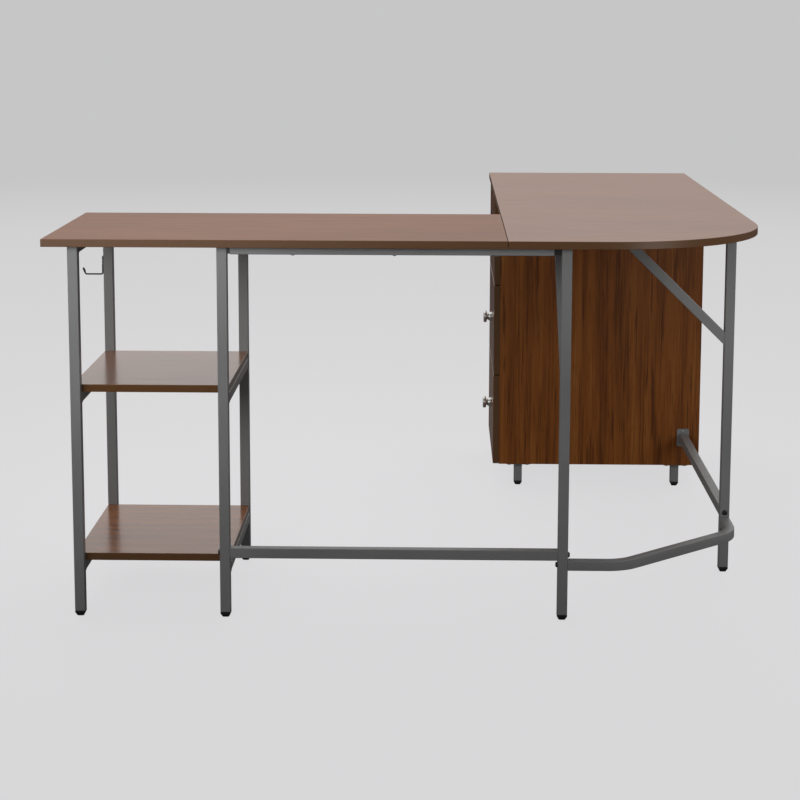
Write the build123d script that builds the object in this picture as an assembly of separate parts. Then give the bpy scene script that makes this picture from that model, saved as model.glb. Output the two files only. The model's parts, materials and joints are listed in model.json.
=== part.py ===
"""L-shaped corner desk: square steel tube frame, board tops and shelves, and a cabinet of drawers.

Everything is modelled in plan coordinates first: x runs from the outer left edge of the wing to
the right, y from the front edge of the tops towards the back of the return, z up from the floor.
save() then shifts each piece so that the origin is the centre of the footprint, on the floor.
"""

import os
from math import cos, radians, sin

from build123d import *

# ---------------------------------------------------------------- driving dimensions (mm)
overall_width = 1412.0
overall_depth = 1500.0
desk_height = 750.0
board_thickness = 15.0
board_edge_round = 0.8

wing_depth = 472.0
return_width = 520.0
seam_gap = 1.2
outer_corner_radius = 326.0

tube = 20.0
tube_wall = 1.2
tube_corner = 1.6
cap_height = 11.0
cap_foot_width = 13.0
cap_plug_length = 14.0
front_set_back = 18.0

shelf_unit_inset = 47.0
shelf_unit_width = 307.0
rear_leg_back = 426.0
middle_shelf_top = 461.0
lower_shelf_top = 123.0
shelf_side_inset = 1.0
shelf_end_gap = 0.5

top_rail_height = 15.0
rail_overrun = 3.0
socket_clearance = 0.2
left_socket_reveal = 6.0
right_socket_reveal = 15.0
socket_insert = 25.0
front_stretcher_bottom = 120.0

corner_front_leg_x = 995.0
corner_side_leg_x = 1358.0
corner_side_leg_y = 350.0
foot_rail_bottom = 100.0
foot_rail_bend_start_x = 1122.0
foot_rail_bend_end_y = 251.0
foot_rail_bend_radius = 80.0
front_brace_low_z = 500.0
front_brace_reach = 236.0
side_brace_low_z = 504.0
side_brace_reach = 220.0

cabinet_front_x = 896.0
cabinet_back_x = 1408.0
cabinet_near_y = 1060.0
cabinet_far_y = 1490.0
cabinet_bottom_z = 59.0
panel = 15.0
back_panel_thickness = 3.0
back_panel_recess = 3.0
cabinet_leg_inset_x = 54.0
cabinet_leg_inset_back_x = 46.0
cabinet_leg_inset_y = 23.0
leg_plate_size = 60.0
leg_plate_thickness = 2.0

drawer_names = ("lower", "middle", "upper")
front_gap = 2.5
front_to_carcass = 0.5
box_side = 12.0
box_bottom = 3.0
box_bottom_lift = 8.0
box_groove = 6.0
box_length = 449.5
box_height = 165.0
box_above_front = 25.0
runner_space = 12.5
runner_sheet = 1.2
runner_height = 22.0
runner_flange = 10.0
runner_length = 448.0
roller_radius = 7.5
roller_width = 7.6
knob_height = 30.0
knob_projection = 21.0

bolt_shank = 6.0
bolt_head = 11.0
bolt_head_height = 4.0
screw_shank = 4.0
screw_head = 8.0
screw_head_height = 2.4
hole_clearance = 0.1
dowel_diameter = 8.0
dowel_length = 24.0
hook_wire = 3.4
hook_bend = 4.0
hook_run_z = 624.5
hook_wire_top_z = 645.0
hook_stand_off = 3.0
hook_turn_x = 7.5
hook_tip_x = 2.9
hook_tip_rise = 11.5
hook_plate_width = 16.0
hook_plate_thickness = 2.5
hook_plate_z = (630.0, 664.0)
hook_screw_z = (650.0, 659.0)
hook_screw_shank = 3.0
brace_overrun = 40.0
leg_plate_screw_edge = 8.0

# ---------------------------------------------------------------- worked out from them
board_bottom = desk_height - board_thickness
wing_length = overall_width - return_width
leg_front = front_set_back
leg_back = front_set_back + tube
rear_leg_front = rear_leg_back - tube
outer_leg_x = shelf_unit_inset
inner_leg_x = shelf_unit_inset + shelf_unit_width - tube
middle_rail_bottom = middle_shelf_top - board_thickness - tube
lower_rail_bottom = lower_shelf_top - board_thickness - tube
top_rail_bottom = board_bottom - top_rail_height
carcass_x = cabinet_front_x + panel
front_pitch = (board_bottom - cabinet_bottom_z) / len(drawer_names)
box_near_y = cabinet_near_y + panel + runner_space
box_far_y = cabinet_far_y - panel - runner_space
box_x = cabinet_front_x + panel - front_to_carcass
cabinet_leg_x = (cabinet_front_x + cabinet_leg_inset_x, cabinet_back_x - cabinet_leg_inset_back_x - tube)
cabinet_leg_y = (cabinet_near_y + cabinet_leg_inset_y, cabinet_far_y - cabinet_leg_inset_y - tube)
handle_y = (cabinet_near_y + cabinet_far_y) / 2

to_centre = Location((-overall_width / 2, -overall_depth / 2, 0))
bottom_left = (Align.MIN, Align.MIN, Align.MIN)


def save(name, *solids):
    """Writes one node: each solid of the group, shifted to the desk's own origin."""
    placed = [solid.moved(to_centre) for solid in solids]
    shape = placed[0] if len(placed) == 1 else Compound(children=placed)
    export_step(shape, f"parts/{name}.step")


def block(x0, x1, y0, y1, z0, z1):
    """A plain box from its six limits."""
    return Pos(x0, y0, z0) * Box(x1 - x0, y1 - y0, z1 - z0, align=bottom_left)


def cylinder_along(direction, start, length, diameter):
    """A solid cylinder that starts at a point and runs along a direction."""
    return Plane(origin=start, z_dir=direction) * Cylinder(
        diameter / 2, length, align=(Align.CENTER, Align.CENTER, Align.MIN)
    )


def drilled(solid, drills):
    """The solid with every drill cut from it."""
    for drill in drills:
        solid = solid - drill
    return solid


# ---------------------------------------------------------------- boards
def eased(board):
    """A board with the sharp top and bottom edges of its outline eased."""
    faces = board.faces().sort_by(Axis.Z)
    edges = faces[0].edges() + faces[-1].edges()
    return fillet(edges, board_edge_round)


def wing_board():
    """Left top board: a plain rectangle."""
    return eased(block(0, wing_length - seam_gap, 0, wing_depth, board_bottom, desk_height))


def return_board():
    """Right top board: it runs to the back and has the big round outer corner."""
    slab = block(wing_length, overall_width, 0, overall_depth, board_bottom, desk_height)
    corner = slab.edges().filter_by(Axis.Z).sort_by(lambda e: e.center().X - e.center().Y)[-1]
    return eased(fillet(corner, outer_corner_radius))


def shelf(top):
    """A shelf between the front and rear legs, resting on the side rails."""
    return eased(
        block(
            outer_leg_x + shelf_side_inset,
            inner_leg_x + tube - shelf_side_inset,
            leg_back + shelf_end_gap,
            rear_leg_front - shelf_end_gap,
            top - board_thickness,
            top,
        )
    )


# ---------------------------------------------------------------- tube
def tube_section(width, height):
    """Face of a hollow tube, seen along the tube."""
    outer = RectangleRounded(width, height, tube_corner)
    return outer - Rectangle(width - 2 * tube_wall, height - 2 * tube_wall)


def tube_run(start, end, width=tube, height=tube):
    """A straight hollow tube whose centre line joins two points; height is its size along z."""
    start, end = Vector(*start), Vector(*end)
    along = (end - start).normalized()
    side = Vector(1, 0, 0) if abs(along.Z) > 0.99 else Vector(0, 0, 1).cross(along).normalized()
    plane = Plane(origin=start, x_dir=side, z_dir=along)
    return extrude(plane * tube_section(width, height), (end - start).length)


def leg(x, y, top=board_bottom):
    """An upright tube standing on its end cap; x and y are its low corner."""
    centre = (x + tube / 2, y + tube / 2)
    return tube_run((*centre, cap_height), (*centre, top))


def rail_back(x, y0, y1, bottom, height=tube):
    """A rail that runs front to back."""
    z = bottom + height / 2
    return tube_run((x + tube / 2, y0, z), (x + tube / 2, y1, z), height=height)


def end_cap(x, y):
    """Plastic foot of a leg: a tapered foot under the tube and a plug inside it."""
    collar_height = 4.0
    foot = loft(
        [
            Pos(0, 0, 0) * RectangleRounded(cap_foot_width, cap_foot_width, 3.5),
            Pos(0, 0, cap_height - collar_height) * RectangleRounded(tube, tube, tube_corner),
        ]
    )
    collar = extrude(
        Pos(0, 0, cap_height - collar_height) * RectangleRounded(tube, tube, tube_corner), collar_height
    )
    plug_width = tube - 2 * tube_wall - socket_clearance
    plug = Pos(0, 0, cap_height) * Box(
        plug_width, plug_width, cap_plug_length, align=(Align.CENTER, Align.CENTER, Align.MIN)
    )
    return Pos(x + tube / 2, y + tube / 2, 0) * (foot + collar + plug)


# ---------------------------------------------------------------- fasteners
def screw_up(x, y, head_top, length, head=screw_head):
    """A pan-head screw driven upwards; head_top is the face that its head bears on."""
    shank = Pos(x, y, head_top) * Cylinder(
        screw_shank / 2, length, align=(Align.CENTER, Align.CENTER, Align.MIN)
    )
    top = Pos(x, y, head_top - screw_head_height) * Cylinder(
        head / 2, screw_head_height, align=(Align.CENTER, Align.CENTER, Align.MIN)
    )
    rim = top.edges().sort_by(Axis.Z)[0]
    return fillet(rim, 1.0) + shank


def screw_drill(x, y, z0, z1):
    """The hole that an upward screw passes through."""
    return cylinder_along((0, 0, 1), (x, y, z0), z1 - z0, screw_shank + 2 * hole_clearance)


def bolt(start, direction, length):
    """A domed frame bolt; start is where its head bears on the tube, direction is down the shank."""
    along = Vector(*direction)
    shank = cylinder_along(along, start, length, bolt_shank)
    head = cylinder_along(along * -1, start, bolt_head_height, bolt_head)
    far_rim = head.edges().filter_by(GeomType.CIRCLE).sort_by_distance(Vector(*start))[-1]
    return fillet(far_rim, 2.5) + shank


def bolt_drill(start, direction, length):
    """The hole for a frame bolt, run a little past both ends."""
    along = Vector(*direction)
    begin = Vector(*start) - along * 2
    return cylinder_along(along, begin, length + 4, bolt_shank + 2 * hole_clearance)


# ---------------------------------------------------------------- frame bolts and where they go
stretcher_bolt_z = front_stretcher_bottom + tube / 2
foot_rail_z = foot_rail_bottom + tube / 2
leg_mid_y = leg_front + tube / 2
side_leg_mid_x = corner_side_leg_x + tube / 2
bolt_reach = tube + 16.0
bolt_places = {
    "inner_front_leg": [((inner_leg_x, leg_mid_y, stretcher_bolt_z), (1, 0, 0))],
    "corner_front_leg": [
        ((corner_front_leg_x + tube, leg_mid_y, stretcher_bolt_z), (-1, 0, 0)),
        ((corner_front_leg_x, leg_mid_y, foot_rail_z), (1, 0, 0)),
    ],
    "corner_side_leg": [((side_leg_mid_x, corner_side_leg_y, stretcher_bolt_z), (0, 1, 0))],
}


def end_plug(x, y, z, direction):
    """Threaded insert fixed in the end of a rail, which a frame bolt pulls up."""
    plug_width = tube - 2 * tube_wall - socket_clearance
    plane = Plane(origin=(x, y, z), x_dir=(0, 0, 1), z_dir=direction)
    plug = extrude(plane * Rectangle(plug_width, plug_width), 18.0)
    return plug - cylinder_along(direction, (x, y, z), 18.0, bolt_shank + 2 * hole_clearance)


# ---------------------------------------------------------------- frame pieces
def foot_rail_part(width, height):
    """Solid bar that follows the bent rail from the corner front leg to the corner side leg."""
    path = FilletPolyline(
        (corner_front_leg_x + tube, leg_mid_y, foot_rail_z),
        (foot_rail_bend_start_x, leg_mid_y, foot_rail_z),
        (side_leg_mid_x, foot_rail_bend_end_y, foot_rail_z),
        (side_leg_mid_x, corner_side_leg_y, foot_rail_z),
        radius=foot_rail_bend_radius,
    )
    start = Plane(origin=path @ 0, x_dir=(0, 1, 0), z_dir=path % 0)
    return sweep(start * Rectangle(width, height), path=path)


def foot_rail():
    """Bent rail: an outer bar with the bore of the tube taken out."""
    inside = tube - 2 * tube_wall
    return foot_rail_part(tube, tube) - foot_rail_part(inside, inside)


def brace(leg_point, towards, reach_length):
    """Slanting tube from the face of a leg up to the underside of the top rail.

    It is cut flush against the leg and against the rail.
    """
    low = Vector(*leg_point)
    reach = Vector(*towards)
    high = low + reach * reach_length + Vector(0, 0, top_rail_bottom - low.Z)
    along = (high - low).normalized()
    side = Vector(0, 0, 1).cross(reach)
    plane = Plane(origin=low - along * brace_overrun, x_dir=side, z_dir=along)
    bar = extrude(plane * tube_section(tube, tube), (high - low).length + 2 * brace_overrun)
    span = reach_length + brace_overrun
    keep_centre = low + reach * (span / 2)
    size = (span, tube + 2) if abs(reach.X) > 0.5 else (tube + 2, span)
    keep_low = low.Z - brace_overrun
    keep = Pos(keep_centre.X, keep_centre.Y, (keep_low + top_rail_bottom) / 2) * Box(
        size[0], size[1], top_rail_bottom - keep_low
    )
    return bar & keep


def bag_hook():
    """Bent wire hook welded to a small plate on the outer rear leg."""
    y = rear_leg_front + tube / 2
    face = outer_leg_x
    half = hook_plate_width / 2
    wire_x = face - hook_stand_off
    path = FilletPolyline(
        (wire_x, y, hook_wire_top_z),
        (wire_x, y, hook_run_z),
        (hook_turn_x, y, hook_run_z),
        (hook_tip_x, y, hook_run_z + hook_tip_rise),
        radius=hook_bend,
    )
    wire = sweep(Plane(origin=path @ 0, z_dir=path % 0) * Circle(hook_wire / 2), path=path)
    tip = Pos(*tuple(path @ 1)) * Sphere(hook_wire / 2)
    plate = block(face - hook_plate_thickness, face, y - half, y + half, *hook_plate_z)
    leg_tube = block(face, face + tube, y - tube, y + tube, *hook_plate_z)
    return drilled(wire + tip + plate - leg_tube, [hook_screw_drill(z) for z in hook_screw_z])


def hook_screw(z):
    """Screw that holds the hook's plate to the leg wall."""
    y = rear_leg_front + tube / 2
    start = (outer_leg_x - hook_plate_thickness, y, z)
    shank = cylinder_along((1, 0, 0), start, 8.0, hook_screw_shank)
    head = cylinder_along((-1, 0, 0), start, 2.0, 6.0)
    far_rim = head.edges().filter_by(GeomType.CIRCLE).sort_by(Axis.X)[0]
    return fillet(far_rim, 1.2) + shank


def hook_screw_drill(z):
    """Hole for a hook screw through the plate and one leg wall."""
    y = rear_leg_front + tube / 2
    hole = hook_screw_shank + 2 * hole_clearance
    return cylinder_along((1, 0, 0), (outer_leg_x - 10, y, z), 14.0, hole)


# ---------------------------------------------------------------- screw places, as (x, y) lists
side_frame_y = (leg_back + 60.0, rear_leg_front - 60.0)
outer_rail_mid_x = outer_leg_x + tube / 2
inner_rail_mid_x = inner_leg_x + tube / 2
corner_rail_x = corner_front_leg_x + tube / 2
corner_rail_y = corner_side_leg_y + tube / 2
side_rail_places = [(x, y) for x in (outer_rail_mid_x, inner_rail_mid_x) for y in side_frame_y]
front_rail_places = [(x, leg_mid_y) for x in (480.0, 675.0, 870.0)]
corner_rail_places = [(corner_rail_x, 120.0), (corner_rail_x, 320.0)] + [
    (x, corner_rail_y) for x in (1080.0, 1290.0)
]
joining_plate_y = (120.0, 360.0)
joining_plate = (100.0, 40.0, 2.0)
plate_places = [(wing_length + dx, y) for y in joining_plate_y for dx in (-36.0, -14.0, 14.0, 36.0)]
cabinet_top_places = [
    (x, y) for x in (carcass_x + 60, cabinet_back_x - 80) for y in (cabinet_near_y + 90, cabinet_far_y - 90)
]
board_bite = 10.0


def side_frame_rails(x):
    """The three front-to-back rails of one side frame: under the top, middle shelf, lower shelf."""
    heights = {top_rail_bottom: top_rail_height, middle_rail_bottom: tube, lower_rail_bottom: tube}
    rails = []
    for bottom, height in heights.items():
        rail = rail_back(x, leg_back, rear_leg_front, bottom, height)
        holes = [screw_drill(x + tube / 2, y, bottom - 5, bottom + height + 5) for y in side_frame_y]
        rails.append(drilled(rail, holes))
    return rails


def front_top_rail():
    """Flat rail under the front edge, between the shelf unit and the corner leg."""
    z = top_rail_bottom + top_rail_height / 2
    rail = tube_run(
        (inner_leg_x + tube + left_socket_reveal, leg_mid_y, z),
        (corner_front_leg_x - right_socket_reveal, leg_mid_y, z),
        width=tube,
        height=top_rail_height,
    )
    holes = [screw_drill(x, y, top_rail_bottom - 5, board_bottom + 5) for x, y in front_rail_places]
    return drilled(rail, holes)


def top_rail_socket(leg_face, direction, reveal):
    """Stub welded to a leg, which the front top rail slides over."""
    width = tube - 2 * tube_wall - socket_clearance
    height = top_rail_height - 2 * tube_wall - socket_clearance
    z = top_rail_bottom + top_rail_height / 2
    plane = Plane(origin=(leg_face, leg_mid_y, z), x_dir=(0, 1, 0), z_dir=direction)
    return extrude(plane * Rectangle(width, height), reveal + socket_insert)


def corner_top_rails():
    """Two rails under the return: back from the corner front leg, then across to the side leg."""
    z = top_rail_bottom + top_rail_height / 2
    back_end = corner_side_leg_y + tube + rail_overrun
    back = tube_run((corner_rail_x, leg_back, z), (corner_rail_x, back_end, z), height=top_rail_height)
    across = tube_run(
        (corner_front_leg_x + tube, corner_rail_y, z),
        (corner_side_leg_x, corner_rail_y, z),
        height=top_rail_height,
    )
    holes = [screw_drill(x, y, top_rail_bottom - 5, board_bottom + 5) for x, y in corner_rail_places]
    return [drilled(back, holes[:2]), drilled(across, holes[2:])]


wall_plate = (30.0, 44.0, 3.0)
wall_plate_screw_dz = 16.0


def side_stretcher():
    """Rail from the corner side leg back to the cabinet, with its welded end plate."""
    rail_end = cabinet_near_y - wall_plate[2]
    rail = rail_back(corner_side_leg_x, corner_side_leg_y + tube, rail_end, front_stretcher_bottom)
    plate = block(
        side_leg_mid_x - wall_plate[0] / 2,
        side_leg_mid_x + wall_plate[0] / 2,
        rail_end,
        cabinet_near_y,
        stretcher_bolt_z - wall_plate[1] / 2,
        stretcher_bolt_z + wall_plate[1] / 2,
    )
    corners = plate.edges().filter_by(Axis.Y)
    return drilled(rail + fillet(corners, 3.0), [wall_screw_drill(s) for s in (-1, 1)])


def wall_screw_start(side):
    """Where a screw of the stretcher's end plate has its head."""
    z = stretcher_bolt_z + side * wall_plate_screw_dz
    return (side_leg_mid_x, cabinet_near_y - wall_plate[2], z)


def wall_screw(side):
    """Screw through the stretcher's end plate into the cabinet side."""
    start = wall_screw_start(side)
    shank = cylinder_along((0, 1, 0), start, 14.0, screw_shank)
    head = cylinder_along((0, -1, 0), start, 2.2, 6.8)
    far_rim = head.edges().filter_by(GeomType.CIRCLE).sort_by(Axis.Y)[0]
    return fillet(far_rim, 1.2) + shank


def wall_screw_drill(side):
    """Hole for that screw."""
    x, y, z = wall_screw_start(side)
    return cylinder_along((0, 1, 0), (x, y - 1, z), 17.0, screw_shank + 2 * hole_clearance)


# ---------------------------------------------------------------- cabinet carcass
inner_near_y = cabinet_near_y + panel
inner_far_y = cabinet_far_y - panel
carcass_back_x = cabinet_back_x - back_panel_recess
dowel_x = (carcass_x + 50.0, (carcass_x + cabinet_back_x) / 2, cabinet_back_x - 60.0)
dowel_z = (cabinet_bottom_z + panel / 2, board_bottom - panel / 2)


def dowel(x, joint_y, z, gap=0.0):
    """Wooden dowel across a panel joint, or its hole when a gap is given."""
    return cylinder_along(
        (0, 1, 0), (x, joint_y - dowel_length / 2 - gap, z), dowel_length + 2 * gap, dowel_diameter + 2 * gap
    )


def dowel_joints(gap=0.0, joint_y=None):
    """Every dowel, or every dowel hole, at one joint plane or at both."""
    planes = (inner_near_y, inner_far_y) if joint_y is None else (joint_y,)
    return [dowel(x, y, z, gap) for y in planes for x in dowel_x for z in dowel_z]


def cabinet_side(y0, joint_y):
    """A side panel with its dowel holes."""
    side = block(carcass_x, cabinet_back_x, y0, y0 + panel, cabinet_bottom_z, board_bottom)
    return drilled(side, dowel_joints(hole_clearance, joint_y))


def cabinet_shelf(z0):
    """The bottom or top panel, between the sides."""
    x1 = carcass_back_x - back_panel_thickness
    board = block(carcass_x, x1, inner_near_y, inner_far_y, z0, z0 + panel)
    return drilled(board, dowel_joints(hole_clearance))


def leg_centres():
    """Centre of each short cabinet leg."""
    return [(x + tube / 2, y + tube / 2) for x in cabinet_leg_x for y in cabinet_leg_y]


def leg_screw_places():
    """Where the screws of every leg plate go."""
    reach = leg_plate_size / 2 - leg_plate_screw_edge
    return [(x + dx, y + dy) for x, y in leg_centres() for dx in (-reach, reach) for dy in (-reach, reach)]


def cabinet_leg(x, y):
    """Short leg with its welded mounting plate."""
    plate_bottom = cabinet_bottom_z - leg_plate_thickness
    half = leg_plate_size / 2
    plate = block(x - half, x + half, y - half, y + half, plate_bottom, cabinet_bottom_z)
    plate = fillet(plate.edges().filter_by(Axis.Z), 4.0)
    post = tube_run((x, y, cap_height), (x, y, plate_bottom))
    holes = [screw_drill(px, py, plate_bottom - 1, cabinet_bottom_z + 1) for px, py in leg_screw_places()]
    near = [h for h in holes if abs(h.center().X - x) < half and abs(h.center().Y - y) < half]
    return drilled(plate + post, near)


# ---------------------------------------------------------------- drawers
def front_bottom(index):
    """Lower edge of a drawer front, counted from the lowest drawer."""
    return cabinet_bottom_z + index * front_pitch + front_gap / 2


def front_middle(index):
    """Height of the middle of a drawer front, where its knob is."""
    return front_bottom(index) + (front_pitch - front_gap) / 2


def box_bottom_z(index):
    """Lower edge of a drawer box."""
    return front_bottom(index) + box_above_front


def runner_channel(index, panel_face, inward):
    """Fixed C-shaped runner on a cabinet side; inward is +1 on the near side and -1 on the far."""
    z = box_bottom_z(index)
    x0, x1 = carcass_x + 1.0, carcass_x + 1.0 + runner_length
    web = sorted((panel_face, panel_face + inward * runner_sheet))
    lip = sorted((panel_face, panel_face + inward * runner_flange))
    return (
        block(x0, x1, *web, z, z + runner_height)
        + block(x0, x1, *lip, z, z + runner_sheet)
        + block(x0, x1, *lip, z + runner_height - runner_sheet, z + runner_height)
    )


slide_lip_z = 17.0
roller_gap = 0.15


def drawer_slide(index, box_face, outward):
    """L-shaped rail on a drawer side, whose lip runs inside the fixed channel."""
    z = box_bottom_z(index)
    x0, x1 = box_x + 2.0, box_x + 2.0 + runner_length - 6.0
    web = sorted((box_face, box_face + outward * runner_sheet))
    lip = sorted((box_face, box_face + outward * (runner_space - 3.0)))
    return block(x0, x1, *web, z + 2.0, z + slide_lip_z + runner_sheet) + block(
        x0, x1, *lip, z + slide_lip_z, z + slide_lip_z + runner_sheet
    )


def roller(x, y0, direction, z, axle_length):
    """Nylon roller with its axle stub towards the sheet that carries it."""
    wheel = cylinder_along((0, direction, 0), (x, y0, z), roller_width, 2 * roller_radius)
    wheel = chamfer(wheel.edges().filter_by(GeomType.CIRCLE), 0.6)
    axle = cylinder_along((0, -direction, 0), (x, y0, z), axle_length, 4.0)
    return wheel + axle


def fixed_roller(index, panel_face, inward):
    """Front roller of the fixed channel, under the drawer's lip."""
    z = box_bottom_z(index) + slide_lip_z - roller_gap - roller_radius
    y0 = panel_face + inward * (runner_sheet + 0.8)
    return roller(carcass_x + 12.0, y0, inward, z, 0.8)


def drawer_roller(index, box_face, outward):
    """Rear roller of a drawer, which rolls on the channel's lower flange."""
    z = box_bottom_z(index) + runner_sheet + roller_gap + roller_radius
    y0 = box_face + outward * (runner_sheet + 1.5)
    return roller(box_x + box_length - 16.0, y0, outward, z, 1.5)


def knob_profile():
    """Half outline of the knob, as (radius, distance from the drawer front)."""
    half = knob_height / 2
    return Polyline(
        (0, 0),
        (half - 2.5, 0),
        (half - 2.5, 1.5),
        (half - 4.0, 3.0),
        (half - 4.5, 8.5),
        (half - 7.0, 9.5),
        (half - 7.0, 12.0),
        (half - 1.0, 13.0),
        (half, 14.5),
        (half, knob_projection - 1.5),
        (half - 1.5, knob_projection),
        (0, knob_projection),
        (0, 0),
    )


def knob_screw(index):
    """Screw that holds the knob from inside the drawer."""
    z = front_middle(index)
    start = (box_x, handle_y, z)
    head = cylinder_along((1, 0, 0), start, 2.4, 8.0)
    return head + cylinder_along((-1, 0, 0), start, panel + 9.0, screw_shank)


def knob_screw_drill(index):
    """Hole for the knob screw in the drawer front and in the knob."""
    z = front_middle(index)
    length = panel - front_to_carcass + 10.0
    return cylinder_along((-1, 0, 0), (box_x + 1, handle_y, z), length + 1, screw_shank + 2 * hole_clearance)


def knob(index):
    """Turned metal knob."""
    face = make_face(knob_profile())
    turned = revolve(Rot(90, 0, 0) * face, Axis.Z)
    placed = Plane(origin=(cabinet_front_x, handle_y, front_middle(index)), z_dir=(-1, 0, 0)) * turned
    return placed - knob_screw_drill(index)


def drawer(index):
    """Every piece of one drawer, as (node suffix, solids) pairs."""
    z0 = box_bottom_z(index)
    z1 = z0 + box_height
    bottom_z = z0 + box_bottom_lift
    x1 = box_x + box_length
    groove = block(
        box_x - 1,
        x1 + 1,
        box_near_y + box_side - box_groove,
        box_far_y - box_side + box_groove,
        bottom_z,
        bottom_z + box_bottom,
    )
    front = block(
        cabinet_front_x,
        box_x,
        cabinet_near_y,
        cabinet_far_y,
        front_bottom(index),
        front_bottom(index) + front_pitch - front_gap,
    )
    front = fillet(front.faces().sort_by(Axis.X)[0].edges(), board_edge_round)
    near = block(box_x, x1, box_near_y, box_near_y + box_side, z0, z1) - groove
    far = block(box_x, x1, box_far_y - box_side, box_far_y, z0, z1) - groove
    back = block(
        x1 - box_side, x1, box_near_y + box_side, box_far_y - box_side, bottom_z + box_bottom, z1
    )
    bottom = block(
        box_x,
        x1,
        box_near_y + box_side - box_groove,
        box_far_y - box_side + box_groove,
        bottom_z,
        bottom_z + box_bottom,
    )
    return [
        ("drawer_front", [front - knob_screw_drill(index)]),
        ("drawer_sides", [near, far]),
        ("drawer_back", [back]),
        ("drawer_bottom", [bottom]),
        ("drawer_knob", [knob(index)]),
        ("drawer_knob_screw", [knob_screw(index)]),
        ("drawer_slides", [drawer_slide(index, box_near_y, -1), drawer_slide(index, box_far_y, 1)]),
        ("drawer_rollers", [drawer_roller(index, box_near_y, -1), drawer_roller(index, box_far_y, 1)]),
    ]


# ---------------------------------------------------------------- write every node
os.makedirs("parts", exist_ok=True)

board_screw_drills = [
    screw_drill(x, y, board_bottom - 5, board_bottom + board_bite + 1)
    for x, y in side_rail_places + front_rail_places + corner_rail_places + plate_places + cabinet_top_places
]
save("wing_top_board", drilled(wing_board(), board_screw_drills))
save("return_top_board", drilled(return_board(), board_screw_drills))

plates = []
for plate_y in joining_plate_y:
    length, width, thickness = joining_plate
    plate = block(
        wing_length - length / 2,
        wing_length + length / 2,
        plate_y - width / 2,
        plate_y + width / 2,
        board_bottom - thickness,
        board_bottom,
    )
    plate = fillet(plate.edges().filter_by(Axis.Z), 5.0)
    plates.append(drilled(plate, board_screw_drills))
save("board_joining_plates", *plates)

screw_runs = (
    (side_rail_places + front_rail_places + corner_rail_places, top_rail_height),
    (plate_places, joining_plate[2]),
    (cabinet_top_places, panel),
)
top_screws = [
    screw_up(x, y, board_bottom - depth, depth + board_bite)
    for places, depth in screw_runs
    for x, y in places
]
save("top_board_screws", *top_screws)

shelf_screws = []
for name, top in (("middle_shelf", middle_shelf_top), ("lower_shelf", lower_shelf_top)):
    underside = top - board_thickness
    holes = [screw_drill(x, y, underside - 5, underside + board_bite + 1) for x, y in side_rail_places]
    save(name, drilled(shelf(top), holes))
    shelf_screws += [screw_up(x, y, underside - tube, tube + board_bite) for x, y in side_rail_places]
save("shelf_screws", *shelf_screws)


def bolted_leg(name, x, y, extra=()):
    """A leg with the holes of its frame bolts."""
    holes = [bolt_drill(start, direction, tube) for start, direction in bolt_places.get(name, [])]
    save(name, drilled(leg(x, y), holes + list(extra)))


bolted_leg("outer_front_leg", outer_leg_x, leg_front)
bolted_leg("outer_rear_leg", outer_leg_x, rear_leg_front, [hook_screw_drill(z) for z in hook_screw_z])
bolted_leg("inner_front_leg", inner_leg_x, leg_front)
bolted_leg("inner_rear_leg", inner_leg_x, rear_leg_front)
bolted_leg("corner_front_leg", corner_front_leg_x, leg_front)
bolted_leg("corner_side_leg", corner_side_leg_x, corner_side_leg_y)
save("outer_frame_rails", *side_frame_rails(outer_leg_x))
save("inner_frame_rails", *side_frame_rails(inner_leg_x))

save("front_top_rail", front_top_rail())
save(
    "top_rail_sockets",
    top_rail_socket(inner_leg_x + tube, (1, 0, 0), left_socket_reveal),
    top_rail_socket(corner_front_leg_x, (-1, 0, 0), right_socket_reveal),
)
save(
    "front_stretcher",
    tube_run(
        (inner_leg_x + tube, leg_mid_y, stretcher_bolt_z),
        (corner_front_leg_x, leg_mid_y, stretcher_bolt_z),
    ),
)
save(
    "stretcher_end_plugs",
    end_plug(inner_leg_x + tube, leg_mid_y, stretcher_bolt_z, (1, 0, 0)),
    end_plug(corner_front_leg_x, leg_mid_y, stretcher_bolt_z, (-1, 0, 0)),
    end_plug(corner_front_leg_x + tube, leg_mid_y, foot_rail_z, (1, 0, 0)),
    end_plug(side_leg_mid_x, corner_side_leg_y + tube, stretcher_bolt_z, (0, 1, 0)),
)
save("frame_bolts", *[bolt(s, d, bolt_reach) for places in bolt_places.values() for s, d in places])
save("corner_top_rails", *corner_top_rails())
save(
    "corner_braces",
    brace((corner_rail_x, leg_back, front_brace_low_z), (0, 1, 0), front_brace_reach),
    brace((corner_side_leg_x, corner_rail_y, side_brace_low_z), (-1, 0, 0), side_brace_reach),
)
save("corner_foot_rail", foot_rail())
save("side_stretcher", side_stretcher())

leg_corners = [
    (outer_leg_x, leg_front),
    (outer_leg_x, rear_leg_front),
    (inner_leg_x, leg_front),
    (inner_leg_x, rear_leg_front),
    (corner_front_leg_x, leg_front),
    (corner_side_leg_x, corner_side_leg_y),
]
cabinet_leg_corners = [(x - tube / 2, y - tube / 2) for x, y in leg_centres()]
save("leg_end_caps", *[end_cap(x, y) for x, y in leg_corners + cabinet_leg_corners])
save("bag_hook", bag_hook())

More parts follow.
